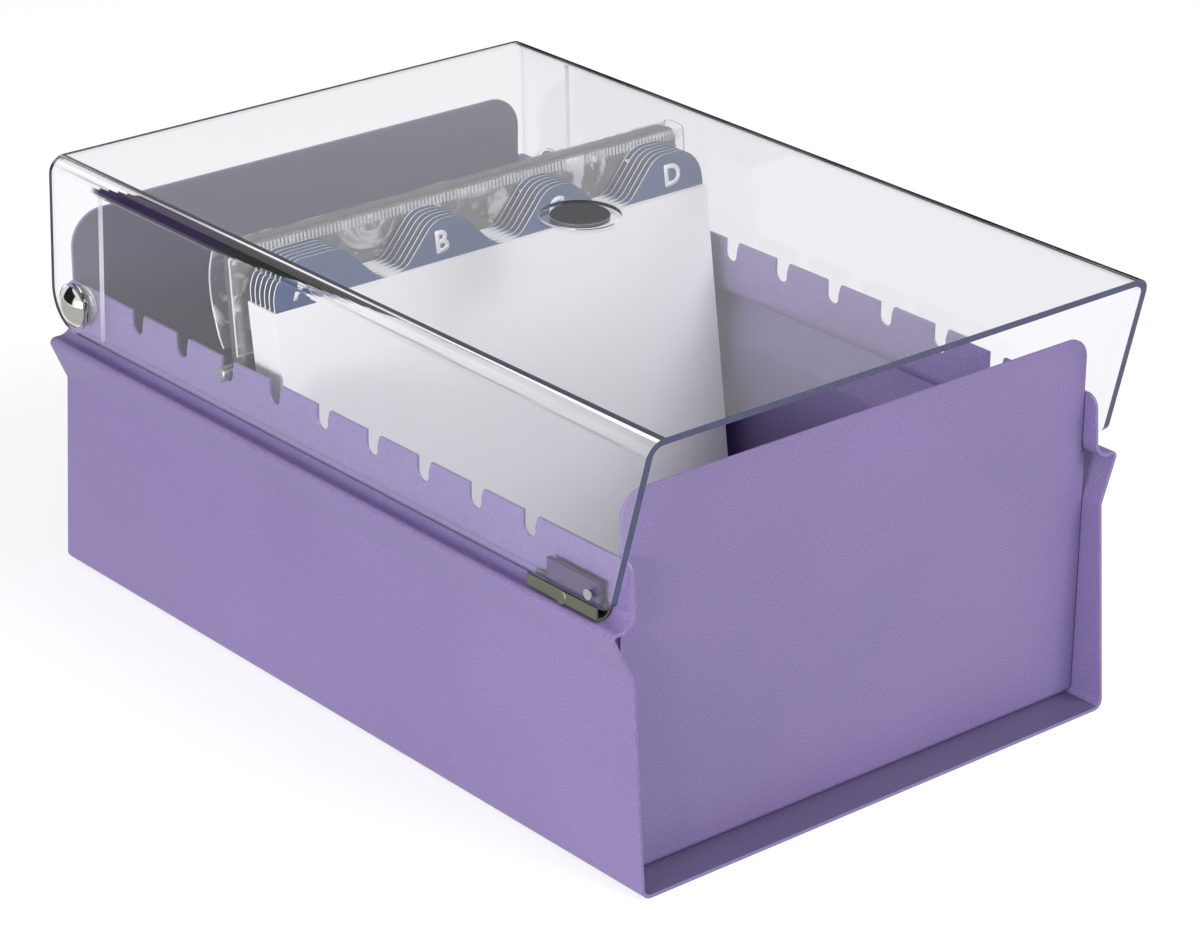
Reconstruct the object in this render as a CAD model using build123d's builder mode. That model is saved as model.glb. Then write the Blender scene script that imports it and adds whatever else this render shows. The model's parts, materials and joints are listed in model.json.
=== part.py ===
"""Index card drawer: a folded steel trough with a clear hinged lid, and an A-Z register inside.

Millimetres. X runs across the drawer, Y from front to back, Z up. The origin is on the
ground, under the middle of the trough's floor.
"""
import os
from math import cos, radians, sin, tan

from build123d import *

# ---------------------------------------------------------------- trough, one folded sheet
trough_length = 267.6  # along the floor
trough_width = 171.0  # over the two upright walls
sheet = 1.0
end_slope = 0.08  # how far the wall ends lean in, per millimetre of height
floor_bend = 3.0  # outer radius of the floor-to-wall fold
kink_height = 61.3  # where the wall starts to flare
kink_bend = 2.5
flare_rise = 14.4  # from the kink to the upper face of the ledge under the lid
ledge_reach = 6.9  # how far the ledge's sharp corner stands out of the wall
ledge_bend = 1.6
gutter_bend = 4.0
flange_inset = 1.3  # outer face of the flange, in from the wall's outer face
flange_rise = 17.9  # from the ledge to the flange's top edge
flange_corner = 4.0

# ---------------------------------------------------------------- notches in the flanges
notch_count = 9
notch_pitch = 22.2
notch_row_centre = 1.3
notch_width = 5.0
notch_depth = 6.6
notch_flare = 0.9
notch_throat = 1.2  # height of the straight part above the round

# ---------------------------------------------------------------- end panels
panel_inset = 11.3  # in from the floor's front edge
back_panel_inset = 8.4  # in from the floor's back edge
front_panel_gap = 18.5  # from the panel's top edge to the lid's underside
back_panel_gap = 15.7
front_panel_corner = 6.5
back_panel_corner = 10.5
panel_foot = 13.0
panel_fold = 2.0

# ---------------------------------------------------------------- lid
lid_wall = 2.2
lid_ledge_gap = 4.7  # between the ledge and the lid's lower edge
lid_depth = 50.8
lid_side_gap = 3.8  # between the flange and the lid's inner face at its lower edge
lid_draw_in = 1.4  # how much further in each side stands at the top than at its lower edge
lid_edge_bend = 5.2
lid_back_inset = 6.1  # from the floor's back edge to the lid's back edge
lid_overhang = 4.4  # past the floor's front edge
lid_front_rake = 13.3  # how much further back the lower front corner lies
lid_front_corner = 4.0

# ---------------------------------------------------------------- pivots
pivot_setback = 18.0  # from the floor's back edge
pivot_drop = 4.6  # below the flange's top edge
shank_radius = 2.0
rivet_head_radius = 6.2
rivet_head_height = 2.6
clinch_radius = 3.4
clinch_height = 0.9
pivot_boss_radius = 7.0
pivot_boss_stand = 0.7
washer_radius = 5.2
washer_thickness = 0.8
hinge_plate_width = 23.0
hinge_plate_thickness = 1.5
hinge_plate_margin = 0.8

# ---------------------------------------------------------------- catches
clip_length = 27.5
clip_setback = 5.0  # behind the lid's lower front corner
clip_sheet = 0.8
clip_width = 5.0
clip_leg = 4.1
clip_dimple_radius = 2.0
clip_dimple_height = 0.25
clip_dimple_slope = 30.0
clip_bend = 1.0
clip_root_bend = 2.4  # the lower edge beside the gutter's bend
magnet_length = 20.5
magnet_rise = 5.8  # above the lid's lower edge
magnet_chamfer = 0.3
catch_rivet_radius = 0.9
catch_rivet_head = 1.5
catch_rivet_head_height = 0.4
catch_rivet_setback = 3.0
catch_rivet_rise = 2.5  # above the lid's lower edge

# ---------------------------------------------------------------- disc in the lid
disc_radius = 8.5
disc_thickness = 1.5
disc_edge = 0.3
disc_ring_radius = 11.7
disc_ring_height = 1.3
disc_recess = 1.1

# ---------------------------------------------------------------- support plate
support_notch = 6  # counted from the front, starting at 0
support_lean = 5.5  # degrees back from upright
support_side_gap = 2.7  # between the plate and the flange
support_headroom = 4.7  # between the plate and the lid's underside
support_sheet = 1.2
support_depth = 5.5
support_corner = 3.5
support_fold = 1.5
lug_radius = 2.1
lug_edge = 0.4
lug_end_gap = 0.9  # between the lug's end and the lid's wall
lug_offset = 3.2  # lug axis behind the plate's front face
lug_tail_radius = 1.2
lug_head_radius = 1.9
lug_head_height = 0.8

# ---------------------------------------------------------------- sleeve over the plate
film = 0.3
film_side_stand = 2.4  # how far the film stands past the plate's sides
film_front_drop = 31.0
film_back_drop = 29.0
film_bulge = 5.2

# ---------------------------------------------------------------- A-Z guides
guide_count = 24
guide_columns = 4
guide_pitch = 0.55
guide_thickness = 0.4
guide_lean = 8.4  # degrees back from upright
guide_width = 157.0
tab_headroom = 6.7  # between the tabs and the lid's underside
tab_height = 12.0
tab_base = 33.0
tab_top = 9.0
tab_left_inset = 18.7  # from the guide's left edge to the first tab's middle
tab_right_inset = 12.6
tab_bend = 8.5
tab_end_bend = 9.5

# ---------------------------------------------------------------- clearances
running_gap = 0.05  # shank in its hole
seat_gap = 0.3  # between bodies that rest or turn on each other
bond_gap = 0.1  # round a glued insert

# ---------------------------------------------------------------- places worked out
half_length = trough_length / 2
half_width = trough_width / 2
ledge_height = kink_height + flare_rise
flange_height = ledge_height + flange_rise
pivot_height = flange_height - pivot_drop
lid_bottom = ledge_height + lid_ledge_gap
lid_height = lid_bottom + lid_depth
lid_ceiling = lid_height - lid_wall
flange_x = half_width - flange_inset
flange_inner_x = flange_x - sheet
wall_inner_x = half_width - sheet
front_panel_y = panel_inset - half_length
back_panel_y = half_length - back_panel_inset
pivot_y = half_length - pivot_setback
lid_back_y = half_length - lid_back_inset
lid_front_y = -half_length - lid_overhang
lid_bottom_x = flange_x + lid_side_gap + lid_wall
lid_taper = lid_draw_in / lid_depth
lid_centre_y = (lid_front_y + lid_back_y) / 2
notch_axis_z = flange_height - notch_depth + notch_width / 2
lug_axis_z = notch_axis_z - notch_width / 2 + lug_radius + seat_gap
lug_axis_y = notch_row_centre + (support_notch - (notch_count - 1) / 2) * notch_pitch
support_width = 2 * (flange_inner_x - support_side_gap)
support_top = lid_ceiling - support_headroom
floor_seat = sheet + seat_gap


def lid_half_width(height):
    """Half width over the lid's outside at a height."""
    return lid_bottom_x - (height - lid_bottom) * lid_taper


def save(piece, name):
    """Label a finished piece and write it as its own STEP file."""
    piece.part.label = name
    export_step(piece.part, f"parts/{name}.step")


def outward_plane(side, x):
    """The plane at x on one side of the drawer, facing away from the middle; side is -1 or 1."""
    return Plane(origin=(side * x, 0, 0), x_dir=(0, side, 0), z_dir=(side, 0, 0))


def leaning_plane(y, z, angle):
    """A plane facing the front of the drawer, whose upward side leans back."""
    return Plane(origin=(0, y, z), x_dir=(1, 0, 0), z_dir=(0, -cos(radians(angle)), sin(radians(angle))))


os.makedirs("parts", exist_ok=True)

# ================================================================ trough
# Right half of the fold line, from the middle of the floor up to the flange's top.
fold_line = [
    (0, 0),
    (half_width, 0),
    (half_width, kink_height),
    (half_width + ledge_reach, ledge_height),
    (flange_x, ledge_height),
    (flange_x, flange_height),
]
fold_bends = [floor_bend, kink_bend, ledge_bend, gutter_bend]
whole_fold_line = [(-x, z) for x, z in reversed(fold_line[1:])] + fold_line[1:]
whole_fold_bends = fold_bends[::-1] + fold_bends

with BuildSketch() as notch_outline:
    with BuildLine():
        notch_low = Line((notch_width / 2, flange_height + sheet), (notch_width / 2, notch_axis_z))
        notch_round = ThreePointArc(
            notch_low @ 1, (0, notch_axis_z - notch_width / 2), (-notch_width / 2, notch_axis_z)
        )
        notch_side = Line(notch_round @ 1, (-notch_width / 2, notch_axis_z + notch_throat))
        notch_slope = Line(notch_side @ 1, (-notch_width / 2 - notch_flare, flange_height))
        notch_rise = Line(notch_slope @ 1, (notch_slope @ 1) + Vector(0, sheet))
        Line(notch_rise @ 1, notch_low @ 0)
    make_face()

with BuildPart() as trough:
    with BuildSketch(Plane.XZ) as trough_section:
        with BuildLine():
            FilletPolyline(*whole_fold_line, radius=whole_fold_bends)
            offset(amount=sheet, side=Side.LEFT)
        make_face()
    extrude(amount=half_length, both=True)
    with BuildSketch(Plane.YZ) as trough_side:
        with BuildLine():
            top_half = half_length - end_slope * flange_height
            Polyline(
                (-half_length, 0),
                (half_length, 0),
                (top_half, flange_height),
                (-top_half, flange_height),
                close=True,
            )
        make_face()
        fillet(trough_side.vertices().group_by(Axis.Y)[-1], flange_corner)
    extrude(amount=trough_width, both=True, mode=Mode.INTERSECT)
    with BuildSketch(Plane.YZ) as notches:
        with Locations((notch_row_centre, 0)):
            with GridLocations(notch_pitch, 1, notch_count, 1):
                add(notch_outline.sketch)
    extrude(amount=trough_width, both=True, mode=Mode.SUBTRACT)
    with BuildSketch(Plane.YZ) as flange_holes:
        with Locations((pivot_y, pivot_height)):
            Circle(shank_radius + running_gap)
    extrude(amount=trough_width, both=True, mode=Mode.SUBTRACT)
save(trough, "trough")


# ================================================================ end panels
def end_panel(height, outer_y, corner, side):
    """A folded end sheet with a foot on the floor; side is -1 for the front and 1 for the back."""
    with BuildPart() as panel:
        with BuildSketch(Plane.YZ) as bend_section:
            with BuildLine():
                FilletPolyline(
                    (outer_y, height),
                    (outer_y, sheet),
                    (outer_y - side * panel_foot, sheet),
                    radius=panel_fold,
                )
                offset(amount=sheet, side=Side.LEFT if side < 0 else Side.RIGHT)
            make_face()
        extrude(amount=wall_inner_x - seat_gap, both=True)
        with BuildSketch(Plane.XZ) as panel_face:
            with Locations((0, sheet)):
                Rectangle(
                    2 * (flange_inner_x - seat_gap), height - sheet, align=(Align.CENTER, Align.MIN)
                )
                Rectangle(
                    2 * (wall_inner_x - seat_gap), ledge_height - sheet, align=(Align.CENTER, Align.MIN)
                )
            top_corners = panel_face.vertices().group_by(Axis.Y)[-1]
            fillet(top_corners, corner)
            foot_corners = panel_face.vertices().group_by(Axis.Y)[0]
            fillet(foot_corners, floor_bend)
        extrude(amount=trough_length, both=True, mode=Mode.INTERSECT)
    return panel


front_panel = end_panel(lid_ceiling - front_panel_gap, front_panel_y, front_panel_corner, -1)
save(front_panel, "front_panel")
back_panel = end_panel(lid_ceiling - back_panel_gap, back_panel_y, back_panel_corner, 1)
save(back_panel, "back_panel")

# ================================================================ lid
with BuildSketch() as lid_outer:
    with BuildLine():
        Polyline(
            (-lid_half_width(0), 0),
            (lid_half_width(0), 0),
            (lid_half_width(lid_height), lid_height),
            (-lid_half_width(lid_height), lid_height),
            close=True,
        )
    make_face()
    fillet(lid_outer.vertices().group_by(Axis.Y)[-1], lid_edge_bend)

with BuildSketch() as lid_inner:
    add(lid_outer.sketch)
    offset(amount=-lid_wall, mode=Mode.REPLACE)

with BuildSketch() as hinge_plate_inner:
    add(lid_inner.sketch)
    offset(amount=-hinge_plate_thickness, mode=Mode.REPLACE)

with BuildSketch() as lid_side:
    with BuildLine():
        Polyline(
            (lid_front_y + lid_front_rake, lid_bottom),
            (lid_back_y, lid_bottom),
            (lid_back_y, lid_height),
            (lid_front_y, lid_height),
            close=True,
        )
    make_face()
    lower_corners = lid_side.vertices().group_by(Axis.Y)[0].sort_by(Axis.X)
    fillet(lower_corners[-1], lid_back_y - pivot_y)
    fillet(lid_side.vertices().group_by(Axis.Y)[0].sort_by(Axis.X)[0], lid_front_corner)

boss_face_x = lid_half_width(pivot_height) + pivot_boss_stand
plate_face_x = flange_x + washer_thickness + 2 * seat_gap
clip_y = lid_front_y + lid_front_rake + clip_setback + clip_length / 2
clip_outer_x = lid_half_width(lid_bottom)
clip_inner_x = clip_outer_x - clip_width
clip_top_z = lid_bottom - seat_gap
clip_bottom_z = clip_top_z - clip_leg
catch_rivet_y = clip_y - clip_length / 2 + catch_rivet_setback
catch_rivet_z = lid_bottom + catch_rivet_rise

with BuildPart() as lid:
    with BuildSketch(Plane.XZ) as lid_section:
        add(lid_outer.sketch)
        add(lid_inner.sketch, mode=Mode.SUBTRACT)
    extrude(amount=trough_length, both=True)
    with BuildSketch(Plane.YZ) as lid_side_cut:
        add(lid_side.sketch)
    extrude(amount=trough_width, both=True, mode=Mode.INTERSECT)
    for side in (-1, 1):
        with BuildSketch(outward_plane(side, boss_face_x)) as boss:
            with Locations((side * pivot_y, pivot_height)):
                Circle(pivot_boss_radius)
        extrude(amount=-pivot_boss_stand - lid_wall / 2)
    with BuildSketch(Plane.YZ) as lid_holes:
        with Locations((pivot_y, pivot_height)):
            Circle(shank_radius + running_gap)
        with Locations((catch_rivet_y, catch_rivet_z)):
            Circle(catch_rivet_radius + running_gap)
    extrude(amount=trough_width, both=True, mode=Mode.SUBTRACT)
    with BuildSketch(Plane.XY.offset(lid_height)) as disc_seat:
        with Locations((0, lid_centre_y)):
            Circle(disc_ring_radius + bond_gap)
    extrude(amount=-disc_recess, mode=Mode.SUBTRACT)
save(lid, "lid")

# Clear plates bonded inside the lid's back corners, which carry the pivots.
for side, name in ((-1, "lid_hinge_plate_left"), (1, "lid_hinge_plate_right")):
    with BuildPart() as hinge_plate:
        with BuildSketch(Plane.XZ.offset(-lid_back_y + hinge_plate_margin)) as plate_section:
            add(lid_inner.sketch)
            add(hinge_plate_inner.sketch, mode=Mode.SUBTRACT)
            plate_top_z = lid_ceiling - hinge_plate_thickness - bond_gap
            with Locations((side * half_width, plate_top_z)):
                Rectangle(
                    half_width,
                    plate_top_z - lid_bottom,
                    align=(Align.CENTER, Align.MAX),
                    mode=Mode.INTERSECT,
                )
        extrude(amount=hinge_plate_width)
        with BuildSketch(Plane.YZ) as plate_side:
            add(lid_side.sketch)
            offset(amount=-hinge_plate_margin, mode=Mode.REPLACE)
        extrude(amount=trough_width, both=True, mode=Mode.INTERSECT)
        plate_outer_x = lid_half_width(pivot_height) - lid_wall
        with BuildSketch(outward_plane(side, plate_face_x)) as inner_boss:
            with Locations((side * pivot_y, pivot_height)):
                Circle(washer_radius)
        extrude(amount=plate_outer_x - plate_face_x - hinge_plate_thickness / 2)
        with BuildSketch(Plane.YZ) as plate_hole:
            with Locations((pivot_y, pivot_height)):
                Circle(shank_radius + running_gap)
        extrude(amount=trough_width, both=True, mode=Mode.SUBTRACT)
    save(hinge_plate, name)

# ================================================================ pivots
for side, word in ((-1, "left"), (1, "right")):
    with BuildPart() as washer:
        with BuildSketch(outward_plane(side, flange_x + seat_gap)) as washer_ring:
            with Locations((side * pivot_y, pivot_height)):
                Circle(washer_radius)
                Circle(shank_radius + running_gap, mode=Mode.SUBTRACT)
        extrude(amount=washer_thickness)
    save(washer, f"pivot_washer_{word}")

    head_seat_x = boss_face_x + seat_gap
    pivot_point = (0, pivot_y, pivot_height)
    with BuildPart() as pivot_rivet:
        with BuildSketch(Plane(origin=pivot_point, x_dir=(0, 1, 0), z_dir=(0, 0, -side))):
            with BuildLine():
                rivet_side = Polyline(
                    (0, flange_inner_x - clinch_height),
                    (clinch_radius, flange_inner_x - clinch_height),
                    (clinch_radius, flange_inner_x),
                    (shank_radius, flange_inner_x),
                    (shank_radius, head_seat_x),
                    (rivet_head_radius, head_seat_x),
                )
                dome = TangentArc((0, head_seat_x + rivet_head_height), rivet_side @ 1, tangent=(1, 0))
                Line(dome @ 0, rivet_side @ 0)
            make_face()
        revolve(axis=Axis(pivot_point, (side, 0, 0)))
    save(pivot_rivet, f"pivot_rivet_{word}")

# ================================================================ catches
magnet_bottom_z = clip_bottom_z + clip_root_bend
magnet_top_z = lid_bottom + magnet_rise
magnet_inner_x = clip_inner_x + clip_sheet + bond_gap
magnet_outer_x = lid_half_width(magnet_top_z) - lid_wall - bond_gap
magnet_thickness = magnet_outer_x - magnet_inner_x
magnet_middle_y = clip_y - clip_length / 2 + clip_sheet + magnet_length / 2
for side, word in ((-1, "left"), (1, "right")):
    with BuildPart() as clip:
        with BuildSketch(Plane.XZ.offset(-clip_y)) as clip_section:
            with BuildLine():
                FilletPolyline(
                    (side * clip_outer_x, clip_top_z),
                    (side * clip_outer_x, clip_bottom_z),
                    (side * clip_inner_x, clip_bottom_z),
                    (side * clip_inner_x, clip_top_z),
                    radius=[clip_bend, clip_root_bend],
                )
                offset(amount=clip_sheet, side=Side.LEFT if side < 0 else Side.RIGHT)
            make_face()
        extrude(amount=clip_length / 2, both=True)
        with BuildSketch(outward_plane(side, clip_outer_x)) as dimple:
            with Locations((side * clip_y, (clip_top_z + clip_bottom_z) / 2)):
                Circle(clip_dimple_radius)
        extrude(amount=clip_dimple_height, taper=clip_dimple_slope)
    save(clip, f"catch_clip_{word}")

    magnet_x = side * (magnet_inner_x + magnet_thickness / 2)
    with BuildPart(Plane(origin=(magnet_x, magnet_middle_y, magnet_bottom_z))) as magnet:
        Box(
            magnet_thickness,
            magnet_length,
            magnet_top_z - magnet_bottom_z,
            align=(Align.CENTER, Align.CENTER, Align.MIN),
        )
        chamfer(magnet.edges().filter_by(Axis.Z), magnet_chamfer)
        with BuildSketch(Plane.YZ) as magnet_hole:
            with Locations((catch_rivet_y, catch_rivet_z)):
                Circle(catch_rivet_radius + running_gap)
        extrude(amount=trough_width, both=True, mode=Mode.SUBTRACT)
    save(magnet, f"catch_magnet_{word}")

    rivet_outer_x = lid_half_width(catch_rivet_z - catch_rivet_head)
    with BuildPart() as catch_rivet:
        with BuildSketch(outward_plane(side, magnet_inner_x)) as catch_shank:
            with Locations((side * catch_rivet_y, catch_rivet_z)):
                Circle(catch_rivet_radius)
        extrude(amount=rivet_outer_x - magnet_inner_x)
        for head_x, facing in ((rivet_outer_x, 1), (magnet_inner_x, -1)):
            with BuildSketch(outward_plane(side, head_x)) as catch_head:
                with Locations((side * catch_rivet_y, catch_rivet_z)):
                    Circle(catch_rivet_head)
            extrude(amount=facing * catch_rivet_head_height)
    save(catch_rivet, f"catch_rivet_{word}")

# ================================================================ disc in the lid
disc_floor_z = lid_height - disc_recess
with BuildPart() as disc_ring:
    with BuildSketch(Plane.XY.offset(disc_floor_z)) as ring_plan:
        with Locations((0, lid_centre_y)):
            Circle(disc_ring_radius)
            Circle(disc_radius + bond_gap, mode=Mode.SUBTRACT)
    extrude(amount=disc_ring_height)
save(disc_ring, "lid_disc_ring")

with BuildPart() as disc:
    with BuildSketch(Plane.XY.offset(disc_floor_z)) as disc_plan:
        with Locations((0, lid_centre_y)):
            Circle(disc_radius)
    extrude(amount=disc_thickness)
    chamfer(disc.edges().group_by(Axis.Z)[-1], disc_edge)
save(disc, "lid_disc")

# ================================================================ support plate
support_plane = leaning_plane(lug_axis_y, lug_axis_z, support_lean)
support_rise = (support_top - lug_axis_z) / cos(radians(support_lean))
support_fall = (lug_axis_z - floor_seat - seat_gap) / cos(radians(support_lean))
support_height = support_rise + support_fall
support_middle = (support_rise - support_fall) / 2

with BuildPart() as support_plate:
    with BuildSketch(support_plane.offset(lug_offset)) as support_outline:
        with Locations((0, support_middle)):
            RectangleRounded(support_width, support_height, support_corner)
    extrude(amount=-support_depth)
    forward = Axis(support_plane.origin, support_plane.z_dir)
    front_rim = support_plate.faces().sort_by(forward)[-1].edges()
    fillet(front_rim, support_fold)
    with BuildSketch(support_plane.offset(lug_offset - support_sheet)) as support_hollow:
        with Locations((0, support_middle)):
            RectangleRounded(
                support_width - 2 * support_sheet,
                support_height - 2 * support_sheet,
                support_corner - support_sheet,
            )
    extrude(amount=-support_depth, mode=Mode.SUBTRACT)
    with BuildSketch(Plane.YZ) as lug_holes:
        with Locations((lug_axis_y, lug_axis_z)):
            Circle(lug_tail_radius + running_gap)
    extrude(amount=trough_width, both=True, mode=Mode.SUBTRACT)
save(support_plate, "support_plate")

lug_tip_x = lid_half_width(lug_axis_z) - lid_wall - lug_end_gap
for side, word in ((-1, "left"), (1, "right")):
    plate_side_x = support_width / 2
    with BuildPart() as lug:
        with BuildSketch(outward_plane(side, plate_side_x)) as lug_pin:
            with Locations((side * lug_axis_y, lug_axis_z)):
                Circle(lug_radius)
        extrude(amount=lug_tip_x - plate_side_x)
        chamfer(lug.edges().sort_by(Axis.X)[-1 if side > 0 else 0], lug_edge)
        with BuildSketch(outward_plane(side, plate_side_x)) as lug_tail:
            with Locations((side * lug_axis_y, lug_axis_z)):
                Circle(lug_tail_radius)
        extrude(amount=-support_sheet - lug_head_height)
        with BuildSketch(outward_plane(side, plate_side_x - support_sheet)) as lug_head:
            with Locations((side * lug_axis_y, lug_axis_z)):
                Circle(lug_head_radius)
        extrude(amount=-lug_head_height)
    save(lug, f"support_lug_{word}")

# ================================================================ sleeve of clear film
# Its section is drawn square to the plate, from the front leaf's lower edge, over the
# plate's top edge, and down behind the plate.
sleeve_plane = Plane(
    origin=(0, lug_axis_y, lug_axis_z),
    x_dir=(0, cos(radians(support_lean)), -sin(radians(support_lean))),
    z_dir=(1, 0, 0),
)
leaf_front = -lug_offset - seat_gap
leaf_back = support_depth - lug_offset + seat_gap
leaf_top = support_rise + seat_gap

with BuildPart() as sleeve:
    with BuildSketch(sleeve_plane) as sleeve_section:
        with BuildLine():
            FilletPolyline(
                (leaf_front, leaf_top - film_front_drop),
                (leaf_front, leaf_top),
                (leaf_back + film_bulge / 3, leaf_top),
                (leaf_back + film_bulge, leaf_top - film_back_drop / 2),
                (leaf_back, leaf_top - film_back_drop),
                radius=[support_fold, film_bulge / 2, film_back_drop / 2],
            )
            offset(amount=film, side=Side.LEFT)
        make_face()
    extrude(amount=support_width / 2 + film_side_stand, both=True)
save(sleeve, "register_sleeve")

# ================================================================ A-Z guides
# The stack leans on the sleeve at the top of the plate.
lean_cos = cos(radians(guide_lean))
lean_sin = sin(radians(guide_lean))
sleeve_face = (lug_offset + seat_gap + film) / cos(radians(support_lean))
sleeve_face_y = lug_axis_y + (support_top - lug_axis_z) * tan(radians(support_lean)) - sleeve_face
stack_back_y = sleeve_face_y - seat_gap - (support_top - floor_seat) * tan(radians(guide_lean))
guide_foot_z = floor_seat + guide_thickness * lean_sin
guide_height = (lid_ceiling - tab_headroom - guide_foot_z) / lean_cos
tab_first = tab_left_inset - guide_width / 2
tab_pitch = (guide_width - tab_left_inset - tab_right_inset) / (guide_columns - 1)


def guide_outline(column):
    """Corners and bend radii of a guide whose tab stands in one of the columns."""
    edge = guide_width / 2
    shoulder = guide_height - tab_height
    centre = tab_first + column * tab_pitch
    corners = [(-edge, 0), (edge, 0)]
    bends = [0, 0]
    if column == guide_columns - 1:
        corners.append((edge, guide_height))
        bends.append(tab_end_bend)
    else:
        corners.append((edge, shoulder))
        corners.append((centre + tab_base / 2, shoulder))
        corners.append((centre + tab_top / 2, guide_height))
        bends.extend([0, tab_bend, tab_bend])
    if column == 0:
        corners.append((-edge, guide_height))
        bends.append(tab_end_bend)
    else:
        corners.append((centre - tab_top / 2, guide_height))
        corners.append((centre - tab_base / 2, shoulder))
        corners.append((-edge, shoulder))
        bends.extend([tab_bend, tab_bend, 0])
    return corners, bends


for number in range(guide_count):
    corners, bends = guide_outline(number % guide_columns)
    guide_y = stack_back_y - guide_thickness / lean_cos - (guide_count - 1 - number) * guide_pitch
    with BuildPart() as guide:
        with BuildSketch(leaning_plane(guide_y, guide_foot_z, guide_lean)) as guide_face:
            with BuildLine():
                FilletPolyline(*corners, radius=bends, close=True)
            make_face()
        extrude(amount=-guide_thickness)
    save(guide, f"guide_{number + 1:02d}")

print(f"pivot at y {pivot_y:.2f}, z {pivot_height:.2f}")
print(f"lug axis at y {lug_axis_y:.2f}, z {lug_axis_z:.2f}")
print(f"guides stand from y {guide_y - (guide_count - 1) * guide_pitch:.2f} to {stack_back_y:.2f}")
print(f"guide foot at z {guide_foot_z:.3f}")
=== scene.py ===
# %% [markdown]
# # Index card drawer
#
# The object is a desk-top card trough: one steel sheet folded into a floor, two walls and
# two notched flanges, with a clear lid hinged at the back. A register of 24 tabbed guides
# leans on a support plate inside. The engineering model gives every rigid shape at its real
# size, so this lesson is about surfaces: what each piece is made of, how it was made, and
# the few soft or printed pieces that only a mesh can give.

# %% Load the engineering model
import json
import math

import bpy
from mathutils import Matrix, Vector, noise


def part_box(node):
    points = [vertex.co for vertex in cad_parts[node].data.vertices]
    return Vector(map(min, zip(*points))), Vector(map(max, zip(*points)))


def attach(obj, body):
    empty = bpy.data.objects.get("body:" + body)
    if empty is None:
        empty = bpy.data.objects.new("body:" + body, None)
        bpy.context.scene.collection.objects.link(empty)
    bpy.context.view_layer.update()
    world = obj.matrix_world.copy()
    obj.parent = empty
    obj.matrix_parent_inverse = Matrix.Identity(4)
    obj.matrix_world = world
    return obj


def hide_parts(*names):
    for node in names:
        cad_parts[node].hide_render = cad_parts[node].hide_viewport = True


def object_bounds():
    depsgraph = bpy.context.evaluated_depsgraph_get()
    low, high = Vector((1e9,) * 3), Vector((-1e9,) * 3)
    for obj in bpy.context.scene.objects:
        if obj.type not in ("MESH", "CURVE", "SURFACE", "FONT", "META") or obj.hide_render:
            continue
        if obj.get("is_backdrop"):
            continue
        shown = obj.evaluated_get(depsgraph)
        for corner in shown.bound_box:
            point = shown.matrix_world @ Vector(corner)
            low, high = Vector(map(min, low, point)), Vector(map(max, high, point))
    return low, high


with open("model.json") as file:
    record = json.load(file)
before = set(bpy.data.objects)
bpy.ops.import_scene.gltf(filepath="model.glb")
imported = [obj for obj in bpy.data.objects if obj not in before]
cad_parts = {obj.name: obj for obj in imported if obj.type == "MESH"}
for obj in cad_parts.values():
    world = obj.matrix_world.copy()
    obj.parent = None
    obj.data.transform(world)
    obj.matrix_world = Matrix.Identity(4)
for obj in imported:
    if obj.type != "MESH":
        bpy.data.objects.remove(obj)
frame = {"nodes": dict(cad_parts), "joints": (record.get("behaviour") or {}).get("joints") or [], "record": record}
cad_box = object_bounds()
MM = 0.001
nodes = frame["nodes"]
bodies = {}
for body, members in frame["record"]["behaviour"]["bodies"].items():
    for node in members:
        bodies[node] = body
joints = {joint["name"]: joint for joint in frame["joints"]}

# %% [markdown]
# ## Helpers
#
# Colours are given as sRGB hex values, but shaders compute in linear light, so one function turns one into the
# other. Another adds a shader node together with its settings and its links, which keeps each material below as
# short as its description. Patterns read Object coordinates, which are metres on the real object, so a noise of a
# known size needs one over that size as its scale.

# %% Colour and shader helpers
COLOUR_MIX = {"data_type": "RGBA"}
FIRST, SECOND = 6, 7  # the Mix node's two colour inputs


def linear(hex_colour):
    """The linear RGBA colour of an sRGB hex value such as #9080b8."""
    shares = [int(hex_colour[i:i + 2], 16) / 255 for i in (1, 3, 5)]
    return (*[s / 12.92 if s <= 0.04045 else ((s + 0.055) / 1.055) ** 2.4 for s in shares], 1.0)


def add_node(tree, kind, settings=None, inputs=None):
    """Add a shader node. An input gets a value, or a link from a socket or a node's first output in use."""
    node = tree.nodes.new(kind)
    for name, value in (settings or {}).items():
        setattr(node, name, value)
    for key, value in (inputs or {}).items():
        if isinstance(value, bpy.types.Node):
            value = next(socket for socket in value.outputs if socket.enabled)
        if isinstance(value, bpy.types.NodeSocket):
            tree.links.new(value, node.inputs[key])
        else:
            node.inputs[key].default_value = value
    return node


def new_material(name):
    """An empty material and its node tree."""
    material = bpy.data.materials.new(name)
    material.use_nodes = True
    material.node_tree.nodes.clear()
    return material, material.node_tree


def set_stops(ramp, stops):
    """Give a colour ramp these stops, each a place from 0 to 1 and a linear colour."""
    elements = ramp.color_ramp.elements
    while len(elements) < len(stops):
        elements.new(0.5)
    for element, (place, colour) in zip(elements, stops):
        element.position = place
        element.color = colour


def per_metre(size_mm):
    """Pattern scale on Object coordinates for features of this size."""
    return 1 / (size_mm * MM)


def wear(material, *names):
    """Give CAD nodes this material."""
    for name in names:
        slots = nodes[name].data.materials
        slots.clear()
        slots.append(material)


print("middle grey #808080 in linear light:", round(linear("#808080")[0], 3))
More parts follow.
